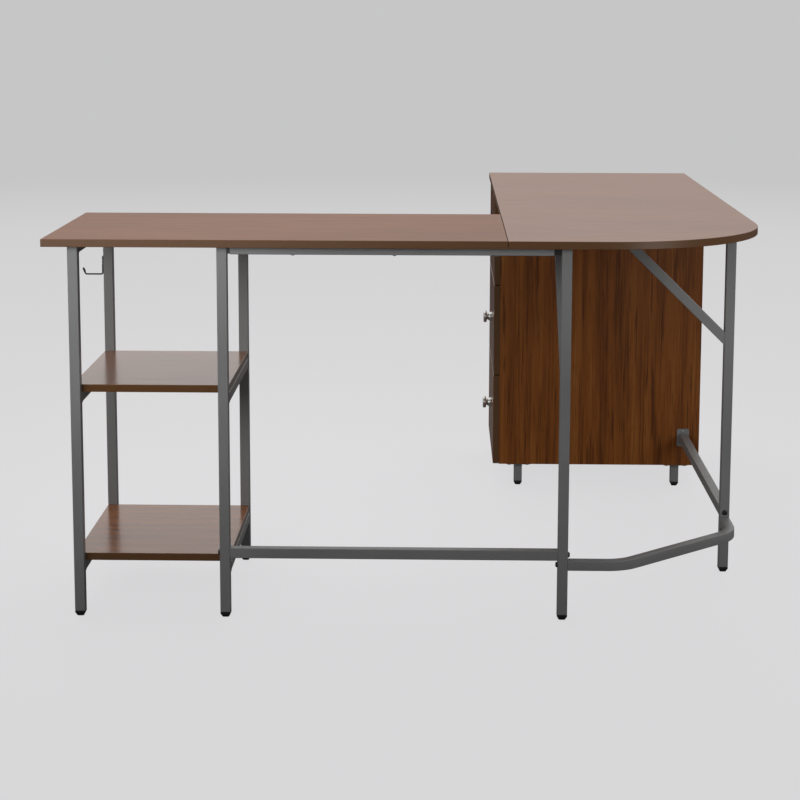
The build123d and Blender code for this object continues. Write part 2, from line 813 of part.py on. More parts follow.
leg_screw_drills = [
    screw_drill(x, y, cabinet_bottom_z - 5, cabinet_bottom_z + board_bite + 1) for x, y in leg_screw_places()
]
near_side = cabinet_side(cabinet_near_y, inner_near_y)
far_side = cabinet_side(inner_far_y, inner_far_y)
save("cabinet_near_side", drilled(near_side, leg_screw_drills + [wall_screw_drill(s) for s in (-1, 1)]))
save("cabinet_far_side", drilled(far_side, leg_screw_drills))
save("cabinet_bottom", drilled(cabinet_shelf(cabinet_bottom_z), leg_screw_drills))
top_holes = [screw_drill(x, y, board_bottom - panel - 1, board_bottom + 1) for x, y in cabinet_top_places]
save("cabinet_top", drilled(cabinet_shelf(board_bottom - panel), top_holes))
save(
    "cabinet_back",
    block(
        carcass_back_x - back_panel_thickness,
        carcass_back_x,
        inner_near_y,
        inner_far_y,
        cabinet_bottom_z,
        board_bottom,
    ),
)
save("cabinet_legs", *[cabinet_leg(x, y) for x, y in leg_centres()])
plate_screws = [hook_screw(z) for z in hook_screw_z] + [wall_screw(s) for s in (-1, 1)]
plate_screws += [
    screw_up(x, y, cabinet_bottom_z - leg_plate_thickness, leg_plate_thickness + board_bite)
    for x, y in leg_screw_places()
]
save("plate_screws", *plate_screws)
save("cabinet_dowels", *dowel_joints())

channels, fixed_rollers = [], []
for index in range(len(drawer_names)):
    for face, inward in ((inner_near_y, 1), (inner_far_y, -1)):
        channels.append(runner_channel(index, face, inward))
        fixed_rollers.append(fixed_roller(index, face, inward))
save("runner_channels", *channels)
save("runner_rollers", *fixed_rollers)

for index, drawer_name in enumerate(drawer_names):
    for suffix, solids in drawer(index):
        save(f"{drawer_name}_{suffix}", *solids)
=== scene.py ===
"""Corner desk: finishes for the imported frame, the small fitted pieces, and a plain studio.

The desk stands on z = 0 with its front edge towards -Y and its round corner at the front right.
All sizes are in metres and every place is worked out from the boxes of the frame's own nodes.
"""

from __future__ import annotations

import json
import logging
import math
from dataclasses import dataclass
from enum import Enum
from typing import Iterable, Sequence

import bmesh
import bpy
from mathutils import Matrix, Quaternion, Vector

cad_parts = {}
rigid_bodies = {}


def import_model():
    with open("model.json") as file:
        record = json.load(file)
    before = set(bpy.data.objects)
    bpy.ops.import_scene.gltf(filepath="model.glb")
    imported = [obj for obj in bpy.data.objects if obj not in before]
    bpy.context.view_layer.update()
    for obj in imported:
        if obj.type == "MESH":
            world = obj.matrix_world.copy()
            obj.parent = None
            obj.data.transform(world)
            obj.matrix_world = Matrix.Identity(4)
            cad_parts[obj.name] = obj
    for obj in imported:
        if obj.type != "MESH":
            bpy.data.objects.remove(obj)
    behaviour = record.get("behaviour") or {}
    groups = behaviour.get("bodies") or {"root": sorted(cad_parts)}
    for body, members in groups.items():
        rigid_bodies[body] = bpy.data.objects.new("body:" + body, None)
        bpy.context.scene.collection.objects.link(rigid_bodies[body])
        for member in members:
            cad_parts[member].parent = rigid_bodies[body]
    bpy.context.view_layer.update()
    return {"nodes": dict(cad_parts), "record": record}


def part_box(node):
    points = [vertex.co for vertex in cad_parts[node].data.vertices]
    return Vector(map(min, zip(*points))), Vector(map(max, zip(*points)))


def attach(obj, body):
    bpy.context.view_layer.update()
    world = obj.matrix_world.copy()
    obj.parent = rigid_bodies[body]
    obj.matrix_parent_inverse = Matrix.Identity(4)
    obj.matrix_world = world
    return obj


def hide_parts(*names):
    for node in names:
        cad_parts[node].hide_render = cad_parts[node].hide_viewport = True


LOG = logging.getLogger("corner_desk")
MM = 0.001
Colour = tuple[float, float, float]
Box = tuple[Vector, Vector]
DRAWERS = ("lower", "middle", "upper")
SIZES = ("head", "shank", "drop", "length")


class Way(Enum):
    """An axis of the desk, as its index in a vector."""

    X = 0
    Y = 1
    Z = 2


class Recess(Enum):
    """The drive that is sunk into a screw's head."""

    CROSS = "cross"
    HEX = "hex"
    NONE = "plain"


# ---------------------------------------------------------------- node helpers
class Wiring:
    """Adds nodes to a tree and joins their sockets."""

    def __init__(self, tree: bpy.types.NodeTree) -> None:
        """Starts with an empty tree.

        Args:
            tree: the shader or geometry tree to fill.
        """
        self.tree = tree
        tree.nodes.clear()

    def add(
        self, kind: str, values: dict[str | int, object] | None = None, **settings: object
    ) -> bpy.types.Node:
        """Adds one node.

        Args:
            kind: the node's type name.
            values: input sockets by name or index, each with a plain value or an output socket.
            **settings: the node's own properties.

        Returns:
            The new node.
        """
        node = self.tree.nodes.new(kind)
        for key, value in settings.items():
            setattr(node, key, value)
        for key, value in (values or {}).items():
            if isinstance(value, bpy.types.NodeSocket):
                self.tree.links.new(value, node.inputs[key])
            else:
                node.inputs[key].default_value = value
        return node

    def join(self, socket: bpy.types.NodeSocket, node: bpy.types.Node, name: str) -> None:
        """Links a socket to one of a node's inputs."""
        self.tree.links.new(socket, node.inputs[name])

    def maths(self, operation: str, first: object, second: object = 0.0) -> bpy.types.NodeSocket:
        """Adds a Math node and returns its output socket."""
        return self.add("ShaderNodeMath", {0: first, 1: second}, operation=operation).outputs[0]

    def noise(
        self, vector: object, scale: float, detail: float = 2.0, rough: float = 0.5
    ) -> bpy.types.NodeSocket:
        """Adds a noise texture and returns its factor."""
        values = {"Vector": vector, "Scale": scale, "Detail": detail, "Roughness": rough}
        return self.add("ShaderNodeTexNoise", values).outputs[0]

    def spread(
        self, value: object, low: float, high: float, start: float = 0.0, end: float = 1.0
    ) -> bpy.types.NodeSocket:
        """Maps a value from low..high to start..end, held at both ends."""
        values = {"Value": value, "From Min": low, "From Max": high, "To Min": start, "To Max": end}
        return self.add("ShaderNodeMapRange", values).outputs[0]

    def blend(self, factor: object, first: object, second: object, how: str = "MIX") -> bpy.types.NodeSocket:
        """Mixes two colours and returns the result.

        Args:
            factor: how much of the second colour shows.
            first: a colour or a colour socket.
            second: a colour or a colour socket.
            how: the Mix node's blend type.

        Returns:
            The mixed colour's socket.
        """
        node = self.add("ShaderNodeMix", data_type="RGBA", blend_type=how)
        for index, value in ((0, factor), (6, first), (7, second)):
            if isinstance(value, bpy.types.NodeSocket):
                self.tree.links.new(value, node.inputs[index])
            elif index:
                node.inputs[index].default_value = (*value, 1.0)
            else:
                node.inputs[index].default_value = value
        return node.outputs[2]

    def stretched(
        self, scale: Sequence[float], order: Sequence[Way] = tuple(Way)
    ) -> bpy.types.NodeSocket:
        """Object coordinates, put in another order and scaled on each axis.

        Args:
            scale: the factor for each of the three reordered axes.
            order: which desk axis goes first, second and third.

        Returns:
            The vector's socket.
        """
        coords = self.add("ShaderNodeTexCoord").outputs["Object"]
        split = self.add("ShaderNodeSeparateXYZ", {0: coords}).outputs
        joined = self.add("ShaderNodeCombineXYZ", {i: split[way.value] for i, way in enumerate(order)})
        values = {"Vector": joined.outputs[0], "Scale": tuple(scale)}
        return self.add("ShaderNodeMapping", values).outputs[0]


def shader(name: str) -> tuple[bpy.types.Material, Wiring, bpy.types.Node]:
    """Makes a node material with a bare Principled surface.

    Args:
        name: the material's name.

    Returns:
        The material, its wiring and its surface node.
    """
    material = bpy.data.materials.new(name)
    material.use_nodes = True
    pad = Wiring(material.node_tree)
    surface = pad.add("ShaderNodeBsdfPrincipled")
    pad.add("ShaderNodeOutputMaterial", {"Surface": surface.outputs[0]})
    return material, pad, surface


def roughen(pad: Wiring, surface: bpy.types.Node, height: object, depth: float, strength: float) -> None:
    """Gives a surface a bump.

    Args:
        pad: the material's wiring.
        surface: its Principled node.
        height: the height's socket, from 0 to 1.
        depth: how deep the relief is, in metres.
        strength: how strongly it shows.
    """
    bump = pad.add("ShaderNodeBump", {"Height": height, "Distance": depth, "Strength": strength})
    pad.join(bump.outputs[0], surface, "Normal")


# ---------------------------------------------------------------- finishes
@dataclass(frozen=True)
class WoodLaminate:
    """Printed wood laminate on a board, with plain strips on its edges."""

    name: str
    grain: Way
    broad: Way
    dark: Colour
    middle: Colour
    light: Colour
    edge: Colour
    gloss: float = 0.30
    shine: float = 0.35

    def build(self) -> bpy.types.Material:
        """Builds the material.

        Returns:
            A material whose figure runs along the grain and whose edge strips are plain.
        """
        material, pad, surface = shader(self.name)
        tone = self._lines(pad, 1.6, 6.0, 5.0, 0.55)
        figure = self._figure(pad)
        streaks = self._lines(pad, 4.5, 260.0, 5.0, 0.70)
        hairs = self._lines(pad, 7.0, 620.0, 2.0, 0.6)
        splits = pad.spread(self._lines(pad, 6.0, 170.0, 2.0, 0.6), 0.57, 0.68)
        pores = pad.spread(self._lines(pad, 44.0, 1100.0, 2.0, 0.5), 0.60, 0.70)
        mixed = pad.maths("ADD", pad.maths("MULTIPLY", figure, 0.08), pad.maths("MULTIPLY", tone, 0.46))
        mixed = pad.maths("ADD", mixed, pad.maths("MULTIPLY", streaks, 0.46))
        ramp = pad.add("ShaderNodeValToRGB", {"Fac": pad.spread(mixed, 0.36, 0.66)})
        ramp.color_ramp.elements[0].color = (*self.dark, 1.0)
        ramp.color_ramp.elements[1].color = (*self.light, 1.0)
        middle = ramp.color_ramp.elements.new(0.5)
        middle.color = (*self.middle, 1.0)
        face = pad.blend(pad.spread(hairs, 0.40, 0.70, 0.0, 0.30), ramp.outputs[0], self.dark)
        face = pad.blend(pad.spread(hairs, 0.42, 0.30, 0.0, 0.35), face, self.light)
        face = pad.blend(pad.maths("MULTIPLY", splits, 0.85), face, self.dark)
        face = pad.blend(pad.maths("MULTIPLY", pores, 0.40), face, self.dark)
        strip = pad.blend(pad.spread(streaks, 0.3, 0.7, 0.0, 0.5), self.edge, self.dark)
        whole = pad.blend(self._edge_mask(pad), face, strip)
        pad.join(whole, surface, "Base Color")
        pad.join(pad.spread(hairs, 0.3, 0.7, self.gloss, self.gloss + 0.08), surface, "Roughness")
        surface.inputs["Specular IOR Level"].default_value = self.shine
        relief = pad.maths("SUBTRACT", pad.maths("MULTIPLY", hairs, 0.5), pad.maths("MULTIPLY", pores, 0.5))
        roughen(pad, surface, relief, 0.05 * MM, 0.35)
        return material

    def _along(self, pad: Wiring, along: float, across: float) -> bpy.types.NodeSocket:
        """Returns coordinates with the grain first, scaled along it and across it."""
        order = [self.grain, *(way for way in Way if way is not self.grain)]
        return pad.stretched((along, across, across), order)

    def _lines(
        self, pad: Wiring, along: float, across: float, detail: float, rough: float
    ) -> bpy.types.NodeSocket:
        """Returns noise that is drawn out along the grain."""
        return pad.noise(self._along(pad, along, across), 1.0, detail, rough)

    def _figure(self, pad: Wiring) -> bpy.types.NodeSocket:
        """Returns the slow arches of a flat-sawn board, long along the grain."""
        values = {
            "Vector": self._along(pad, 0.22, 2.6),
            "Scale": 2.6,
            "Distortion": 7.0,
            "Detail": 4.0,
            "Detail Scale": 1.6,
            "Detail Roughness": 0.65,
        }
        return pad.add("ShaderNodeTexWave", values, wave_type="BANDS", bands_direction="Y").outputs["Fac"]

    def _edge_mask(self, pad: Wiring) -> bpy.types.NodeSocket:
        """Returns 1 on the faces across the board's thickness and 0 on its broad faces."""
        normal = pad.add("ShaderNodeNewGeometry").outputs["Normal"]
        split = pad.add("ShaderNodeSeparateXYZ", {0: normal}).outputs[self.broad.value]
        return pad.spread(pad.maths("ABSOLUTE", split), 0.55, 0.75, 1.0, 0.0)


@dataclass(frozen=True)
class PowderCoat:
    """Baked powder paint on steel, with a fine orange-peel skin."""

    name: str
    colour: Colour
    gloss: float = 0.42
    peel: float = 0.10

    def build(self) -> bpy.types.Material:
        """Builds the material.

        Returns:
            A satin paint with slow changes of tone and a fine skin.
        """
        material, pad, surface = shader(self.name)
        slow = pad.noise(pad.stretched((3.0, 3.0, 3.0)), 1.0, 3.0)
        skin = pad.noise(pad.stretched((620.0, 620.0, 620.0)), 1.0, 2.0, 0.55)
        lighter = tuple(min(1.0, 1.16 * c) for c in self.colour)
        darker = tuple(0.90 * c for c in self.colour)
        tone = pad.blend(pad.spread(slow, 0.3, 0.7), darker, lighter)
        speck = pad.blend(pad.spread(skin, 0.55, 0.8, 0.0, 0.12), tone, lighter)
        pad.join(speck, surface, "Base Color")
        pad.join(pad.spread(skin, 0.3, 0.7, self.gloss - 0.05, self.gloss + 0.07), surface, "Roughness")
        roughen(pad, surface, skin, self.peel * MM, 0.35)
        return material


@dataclass(frozen=True)
class MouldedPlastic:
    """Injection-moulded plastic with a fine spark texture."""

    name: str
    colour: Colour
    gloss: float = 0.5

    def build(self) -> bpy.types.Material:
        """Builds the material.

        Returns:
            A plastic with a grained skin and a faint scuffed tone.
        """
        material, pad, surface = shader(self.name)
        grain = pad.noise(pad.stretched((1400.0, 1400.0, 1400.0)), 1.0, 2.0)
        scuff = pad.noise(pad.stretched((60.0, 60.0, 25.0)), 1.0, 4.0, 0.65)
        lighter = tuple(min(1.0, 1.5 * c + 0.01) for c in self.colour)
        tone = pad.blend(pad.spread(scuff, 0.5, 0.8, 0.0, 0.4), self.colour, lighter)
        pad.join(tone, surface, "Base Color")
        pad.join(pad.spread(scuff, 0.3, 0.7, self.gloss - 0.08, self.gloss + 0.1), surface, "Roughness")
        roughen(pad, surface, grain, 0.05 * MM, 0.5)
        return material


@dataclass(frozen=True)
class BareMetal:
    """Plated or turned metal, with tool lines across one axis."""

    name: str
    colour: Colour
    gloss: float = 0.28
    turned: Way = Way.Z
    lines: float = 1500.0

    def build(self) -> bpy.types.Material:
        """Builds the material.

        Returns:
            A metal whose tool lines lie square to the turned axis.
        """
        material, pad, surface = shader(self.name)
        scale = [12.0, 12.0, 12.0]
        scale[self.turned.value] = self.lines
        tool = pad.noise(pad.stretched(scale), 1.0, 2.0)
        cloud = pad.noise(pad.stretched((90.0, 90.0, 90.0)), 1.0, 3.0, 0.6)
        darker = tuple(0.82 * c for c in self.colour)
        tone = pad.blend(pad.spread(cloud, 0.35, 0.7), self.colour, darker)
        surface.inputs["Metallic"].default_value = 1.0
        pad.join(tone, surface, "Base Color")
        pad.join(pad.spread(tool, 0.3, 0.7, self.gloss - 0.06, self.gloss + 0.12), surface, "Roughness")
        roughen(pad, surface, tool, 0.02 * MM, 0.5)
        return material


@dataclass(frozen=True)
class PressedFibre:
    """Hardboard or plain chipboard: a short, mixed fibre print."""

    name: str
    colour: Colour
    fleck: Colour
    gloss: float = 0.55

    def build(self) -> bpy.types.Material:
        """Builds the material.

        Returns:
            A board with short flecks and a dry surface.
        """
        material, pad, surface = shader(self.name)
        cells = pad.add("ShaderNodeTexVoronoi", {"Vector": pad.stretched((1.0, 1.0, 1.0)), "Scale": 420.0})
        fibre = pad.noise(pad.stretched((260.0, 180.0, 260.0)), 1.0, 4.0, 0.7)
        tone = pad.blend(pad.spread(fibre, 0.35, 0.7), self.colour, self.fleck)
        tone = pad.blend(pad.spread(cells.outputs["Distance"], 0.0, 0.6, 0.25, 0.0), tone, self.fleck)
        pad.join(tone, surface, "Base Color")
        surface.inputs["Roughness"].default_value = self.gloss
        roughen(pad, surface, fibre, 0.10 * MM, 0.4)
        return material


Finish = WoodLaminate | PowderCoat | MouldedPlastic | BareMetal | PressedFibre
WOOD_DARK: Colour = (0.112, 0.032, 0.0050)
WOOD_MIDDLE: Colour = (0.258, 0.077, 0.0110)
WOOD_LIGHT: Colour = (0.345, 0.125, 0.0240)
WOOD_EDGE: Colour = (0.128, 0.067, 0.0270)


def faded(colour: Colour, share: float) -> Colour:
    """Draws a colour of the wood print towards its middle tone.

    Args:
        colour: the print's own colour.
        share: how much of its difference from the middle tone is kept.

    Returns:
        The drawn colour.
    """
    return tuple(m + share * (c - m) for c, m in zip(colour, WOOD_MIDDLE))


def laminate(
    name: str,
    grain: Way,
    broad: Way,
    gloss: float = 0.36,
    shine: float = 0.35,
    contrast: float = 1.0,
) -> WoodLaminate:
    """Lays the desk's one wood print along a board.

    Args:
        name: the finish's name.
        grain: the axis that the print runs along.
        broad: the axis across the board's thickness.
        gloss: the roughness of its film.
        shine: the strength of its reflection.
        contrast: how strong the print's figure is.

    Returns:
        The board's finish.
    """
    dark, light = faded(WOOD_DARK, contrast), faded(WOOD_LIGHT, contrast)
    return WoodLaminate(name, grain, broad, dark, WOOD_MIDDLE, light, WOOD_EDGE, gloss, shine)


SHELF_WOOD = laminate("shelf_laminate", Way.X, Way.Z, 0.16, 0.50, 0.65)
SIDE_WOOD = laminate("carcass_side_laminate", Way.Z, Way.Y, 0.42, 0.20, 1.15)
CARCASS_WOOD = laminate("carcass_shelf_laminate", Way.Y, Way.Z)
FRONT_WOOD = laminate("front_laminate", Way.Y, Way.X, 0.16, 0.70)
PANEL_FINISHES: dict[str, WoodLaminate] = {
    "wing_top_board": laminate("wing_laminate", Way.X, Way.Z, 0.45, 0.40, 0.55),
    "return_top_board": laminate("return_laminate", Way.X, Way.Z, 0.34, 0.50, 0.45),
    "middle_shelf": SHELF_WOOD,
    "lower_shelf": SHELF_WOOD,
    "cabinet_near_side": SIDE_WOOD,
    "cabinet_far_side": SIDE_WOOD,
    "cabinet_bottom": CARCASS_WOOD,
    "cabinet_top": CARCASS_WOOD,
    **{f"{name}_drawer_front": FRONT_WOOD for name in DRAWERS},
}

SLOT_FINISHES: dict[str, Finish] = {
    "grey_powder_coat": PowderCoat("grey_powder_coat", (0.222, 0.222, 0.222)),
    "runner_coat": PowderCoat("runner_coat", (0.66, 0.66, 0.64), 0.38, 0.06),
    "black_steel": PowderCoat("black_steel", (0.020, 0.020, 0.021), 0.36, 0.05),
    "black_plastic": MouldedPlastic("black_plastic", (0.010, 0.010, 0.011)),
    "white_nylon": MouldedPlastic("white_nylon", (0.74, 0.74, 0.71), 0.42),
    "zinc_steel": BareMetal("zinc_steel", (0.60, 0.61, 0.62), 0.30),
    "satin_knob_metal": BareMetal("satin_knob_metal", (0.78, 0.77, 0.74), 0.30, Way.X),
    "drawer_box_board": PressedFibre("drawer_box_board", (0.56, 0.50, 0.42), (0.48, 0.42, 0.34)),
    "hardboard": PressedFibre("hardboard", (0.24, 0.13, 0.06), (0.14, 0.075, 0.034), 0.6),
    "beech_dowel": PressedFibre("beech_dowel", (0.52, 0.33, 0.18), (0.42, 0.25, 0.13)),
}


class Paintbox:
    """Builds each finish once and puts it on nodes and pieces."""

    def __init__(self) -> None:
        """Starts with no material built."""
        self._built: dict[str, bpy.types.Material] = {}

    def get(self, finish: Finish) -> bpy.types.Material:
        """Returns a finish's material, built on its first use."""
        if finish.name not in self._built:
            self._built[finish.name] = finish.build()
        return self._built[finish.name]

    def slot(self, name: str) -> bpy.types.Material:
        """Returns the material of one of the record's slots."""
        return self.get(SLOT_FINISHES[name])

    def dress(self, obj: bpy.types.Object, material: bpy.types.Material) -> None:
        """Gives an object one material."""
        obj.data.materials.clear()
        obj.data.materials.append(material)

    def dress_frame(self, nodes: dict[str, bpy.types.Object], record: dict) -> None:
        """Dresses every node of the frame.

        Args:
            nodes: the frame's objects by name.
            record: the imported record, which names each node's slot.
        """
        slots = {part["node"]: part["material_slot"] for part in record["subparts"]}
        for name, obj in nodes.items():
            finish = PANEL_FINISHES.get(name) or SLOT_FINISHES[slots[name]]
            self.dress(obj, self.get(finish))
            LOG.info("dressed %s with %s", name, finish.name)


# ---------------------------------------------------------------- mesh helpers
def solid_points(node: bpy.types.Object) -> list[list[Vector]]:
    """Splits a node into its separate solids.

    Args:
        node: a frame node, whose mesh is loose triangles.

    Returns:
        The vertices of each solid.
    """
    copy = bmesh.new()
    copy.from_mesh(node.data)
    bmesh.ops.remove_doubles(copy, verts=copy.verts, dist=0.001 * MM)
    unseen = set(copy.verts)
    solids = []
    while unseen:
        front = [unseen.pop()]
        points = []
        while front:
            vert = front.pop()
            points.append(vert.co.copy())
            for edge in vert.link_edges:
                other = edge.other_vert(vert)
                if other in unseen:
                    unseen.discard(other)
                    front.append(other)
        solids.append(points)
    copy.free()
    return sorted(solids, key=lambda solid: tuple(round(c, 5) for c in min(solid, key=tuple)))


def box_of(points: Iterable[Vector]) -> Box:
    """Returns the lowest and highest corner of some points."""
    listed = list(points)
    low = Vector(min(p[i] for p in listed) for i in range(3))
    high = Vector(max(p[i] for p in listed) for i in range(3))
    return low, high


def centre_of(box: Box) -> Vector:
    """Returns a box's middle."""
    return (box[0] + box[1]) / 2


def node_box(name: str) -> Box:
    """Returns a frame node's lowest and highest corner."""
    low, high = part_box(name)
    return Vector(low), Vector(high)


def long_way(box: Box) -> int:
    """Returns the index of a box's longest side."""
    size = box[1] - box[0]
    return max(range(3), key=lambda i: size[i])


def object_from(name: str, mesh: bpy.types.Mesh) -> bpy.types.Object:
    """Links a new object that holds a mesh, at the origin."""
    obj = bpy.data.objects.new(name, mesh)
    bpy.context.scene.collection.objects.link(obj)
    return obj


def built(name: str, build: bmesh.types.BMesh, smooth: bool = True) -> bpy.types.Object:
    """Turns a bmesh into an object and frees it.

    Args:
        name: the object's name.
        build: the bmesh, which is freed.
        smooth: whether its faces are shaded smooth.

    Returns:
        The object, with its faces pointing outwards.
    """
    bmesh.ops.recalc_face_normals(build, faces=build.faces)
    for face in build.faces:
        face.smooth = smooth
    mesh = bpy.data.meshes.new(name)
    build.to_mesh(mesh)
    build.free()
    return object_from(name, mesh)


def ring(build: bmesh.types.BMesh, centre: Vector, u: Vector, v: Vector, radius: float, count: int) -> list:
    """Adds a circle of vertices round a centre, in the plane of two directions."""
    steps = (2 * math.pi * (i + 0.5) / count for i in range(count))
    return [build.verts.new(centre + radius * (math.cos(a) * u + math.sin(a) * v)) for a in steps]


def lathe(
    build: bmesh.types.BMesh,
    start: Vector,
    axis: Vector,
    profile: Sequence[tuple[float, float]],
    count: int,
) -> None:
    """Turns a profile about an axis and closes both ends.

    Args:
        build: the bmesh to add to.
        start: where the profile's distances begin.
        axis: the direction that they run in.
        profile: pairs of radius and distance.
        count: how many sides the turned shape has.
    """
    u = axis.orthogonal().normalized()
    v = axis.cross(u)
    rings = [ring(build, start + axis * along, u, v, radius, count) for radius, along in profile]
    for low, high in zip(rings, rings[1:]):
        for i in range(count):
            j = (i + 1) % count
            build.faces.new((low[i], low[j], high[j], high[i]))
    build.faces.new(rings[0])
    build.faces.new(rings[-1])


def settle(obj: bpy.types.Object, name: str) -> bpy.types.Object:
    """Replaces an object that a node tree makes with its plain result.

    Args:
        obj: the object that carries the modifier, which is removed.
        name: the finished piece's name.

    Returns:
        A new object with a plain mesh and no modifier.
    """
    bpy.context.view_layer.update()
    evaluated = obj.evaluated_get(bpy.context.evaluated_depsgraph_get())
    mesh = bpy.data.meshes.new_from_object(evaluated)
    mesh.name = name
    for label in ("way", *SIZES):
        if label in mesh.attributes:
            mesh.attributes.remove(mesh.attributes[label])
    bpy.data.objects.remove(obj)
    return object_from(name, mesh)


def finish_piece(obj: bpy.types.Object, body: str, stands_for: Sequence[str] = ()) -> None:
    """Ties a finished piece to its body.

    Args:
        obj: the piece.
        body: the body that it rides on.
        stands_for: frame nodes that it replaces.
    """
    if stands_for:
        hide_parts(*stands_for)
    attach(obj, body)
    LOG.info("piece %s rides on %s with %s faces", obj.name, body, len(obj.data.polygons))


class GeometryRule:
    """A geometry node tree with named inputs, used through a modifier."""

    def __init__(self, name: str, inputs: dict[str, str]) -> None:
        """Starts a tree with a geometry input and output.

        Args:
            name: the tree's name.
            inputs: the further inputs by name, each with its socket type.
        """
        self.tree = bpy.data.node_groups.new(name, "GeometryNodeTree")
        face = self.tree.interface
        face.new_socket("Geometry", in_out="INPUT", socket_type="NodeSocketGeometry")
        self.ids = {}
        for label, kind in inputs.items():
            self.ids[label] = face.new_socket(label, in_out="INPUT", socket_type=kind).identifier
        face.new_socket("Geometry", in_out="OUTPUT", socket_type="NodeSocketGeometry")
        self.pad = Wiring(self.tree)
        self.start = self.pad.add("NodeGroupInput").outputs

    def close(self, geometry: bpy.types.NodeSocket) -> None:
        """Ends the tree with real geometry that carries the Material input.

        Args:
            geometry: the socket that holds the finished shape.
        """
        real = self.pad.add("GeometryNodeRealizeInstances", {0: geometry}).outputs[0]
        values = {"Geometry": real, "Material": self.start["Material"]}
        coated = self.pad.add("GeometryNodeSetMaterial", values).outputs[0]
        self.pad.add("NodeGroupOutput", {0: coated})

    def apply(self, obj: bpy.types.Object, name: str, values: dict[str, object]) -> bpy.types.Object:
        """Runs the tree on an object.

        Args:
            obj: the object that holds the tree's points or paths.
            name: the finished piece's name.
            values: each named input's value.

        Returns:
            The finished piece.
        """
        modifier = obj.modifiers.new(name, "NODES")
        modifier.node_group = self.tree
        for label, value in values.items():
            modifier[self.ids[label]] = value
        return settle(obj, name)


# ---------------------------------------------------------------- fasteners
@dataclass(frozen=True)
class FastenerSize:
    """The head's radius, the shank's radius, the head's height and the length under the head."""

    head: float
    shank: float
    drop: float
    length: float


NAIL = FastenerSize(2.2 * MM, 0.8 * MM, 0.9 * MM, 14 * MM)
RUNNER_SCREW = FastenerSize(3.0 * MM, 1.6 * MM, 1.6 * MM, 12 * MM)
FRONT_SCREW = FastenerSize(4.0 * MM, 2.0 * MM, 2.2 * MM, 11 * MM)


@dataclass
class Fastener:
    """One screw, bolt or nail: where its head bears, where it points, and its size."""

    seat: Vector
    way: Vector
    size: FastenerSize

    @classmethod
    def measure(cls, points: list[Vector]) -> Fastener:
        """Measures a plain fastener of the frame.

        Args:
            points: the vertices of its solid.

        Returns:
            The fastener.
        """
        box = box_of(points)
        k = long_way(box)
        middle = centre_of(box)
        others = [i for i in range(3) if i != k]

        def radius(point: Vector) -> float:
            return math.hypot(*(point[i] - middle[i] for i in others))

        head = max(radius(p) for p in points)
        wide = [p[k] for p in points if radius(p) > 0.9 * head]
        at_low = sum(wide) / len(wide) < middle[k]
        way = Vector((0.0, 0.0, 0.0))
        way[k] = 1.0 if at_low else -1.0
        bearing = max(wide) if at_low else min(wide)
        shank = max(radius(p) for p in points if (p[k] - bearing) * way[k] > 0.5 * MM)
        seat = middle.copy()
        seat[k] = bearing
        tip = box[1][k] if at_low else box[0][k]
        outer = box[0][k] if at_low else box[1][k]
        return cls(seat, way, FastenerSize(head, shank, abs(outer - bearing), abs(tip - bearing)))


